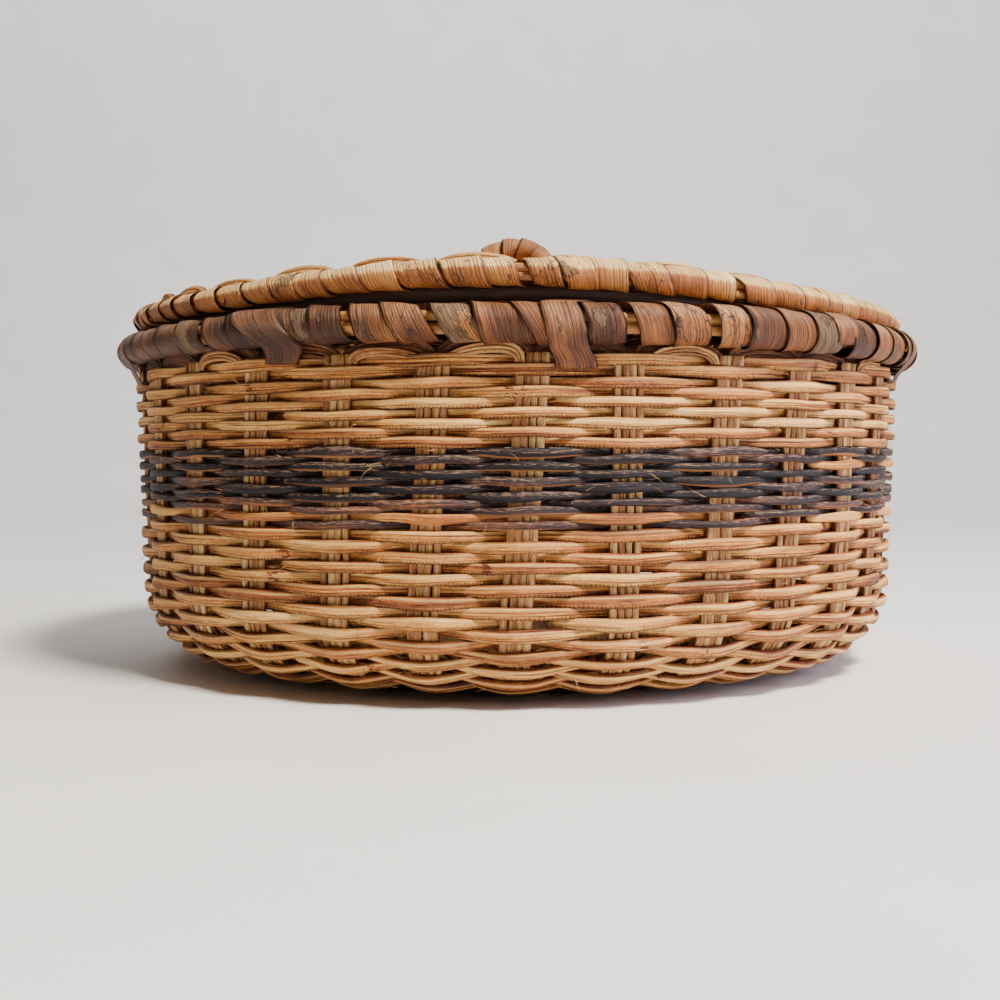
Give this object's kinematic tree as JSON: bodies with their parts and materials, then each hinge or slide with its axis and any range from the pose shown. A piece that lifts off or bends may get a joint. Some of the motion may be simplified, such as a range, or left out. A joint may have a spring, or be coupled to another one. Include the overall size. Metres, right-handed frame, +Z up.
{
  "type": "tortilla warmer",
  "caption": "Round covered basket woven of split cane over flat reed stakes, with strip-wrapped rims and a lift-off lid with a loop handle.",
  "frame": {"origin": "on the table, under the middle of the basket", "axes": "+Z up out of the basket; -Y towards the near side; +X to its right"},
  "size_m": [0.2499, 0.2498, 0.1347],
  "materials": {
    "weaver_cane": "satin split cane, straw to honey",
    "stake_reed": "matte flat reed, pale straw",
    "dark_cane": "dyed split cane, charcoal with a faint violet cast",
    "bark_strip": "satin cane bark, purplish brown with grey patches",
    "pale_bark_strip": "satin cane bark, honey tan",
    "handle_strip": "satin cane bark, warm brown",
    "peeled_cane": "peeled round cane",
    "hoop_cane": "split cane hoop, brown",
    "centre_slat": "flat split cane"
  },
  "bodies": {
    "basket": {"border_arches": "stake_reed", "border_weaver": "weaver_cane", "bottom_weaver_1": "weaver_cane", "bottom_weaver_2": "weaver_cane", "bottom_weaver_3": "weaver_cane", "bottom_weaver_4": "weaver_cane", "bottom_weaver_5": "weaver_cane", "centre_slats_over": "centre_slat", "centre_slats_under": "centre_slat", "dark_weaver_1": "dark_cane", "dark_weaver_2": "dark_cane", "dark_weaver_3": "dark_cane", "foot_hoop": "hoop_cane", "lower_weaver_1": "weaver_cane", "lower_weaver_2": "weaver_cane", "lower_weaver_3": "weaver_cane", "lower_weaver_4": "weaver_cane", "rim_binding": "bark_strip", "rim_cane_1": "peeled_cane", "rim_cane_2": "peeled_cane", "rim_cane_3": "peeled_cane", "rim_cane_4": "peeled_cane", "rim_lashings": "bark_strip", "stake_inner_strands": "stake_reed", "stake_outer_strands": "stake_reed", "upper_weaver_1": "weaver_cane", "upper_weaver_2": "weaver_cane"},
    "lid": {"handle_binding": "handle_strip", "handle_cane_1": "peeled_cane", "handle_cane_2": "peeled_cane", "handle_cane_3": "peeled_cane", "lid_arches": "stake_reed", "lid_centre_slats_over": "centre_slat", "lid_centre_slats_under": "centre_slat", "lid_edge_weaver": "weaver_cane", "lid_lashings": "pale_bark_strip", "lid_rim_binding": "pale_bark_strip", "lid_rim_cane_1": "peeled_cane", "lid_rim_cane_2": "peeled_cane", "lid_rim_cane_3": "peeled_cane", "lid_seat_hoop": "hoop_cane", "lid_spoke_inner_strands": "stake_reed", "lid_spoke_outer_strands": "stake_reed", "lid_weaver_1": "weaver_cane", "lid_weaver_2": "weaver_cane", "lid_weaver_3": "weaver_cane", "lid_weaver_4": "weaver_cane", "lid_weaver_5": "weaver_cane"}
  },
  "joints": [
    {"name": "lid_lift", "type": "slide", "parent": "basket", "child": "lid", "axis": [0, 0, 1], "range_m": [0, 0.15]}
  ]
}
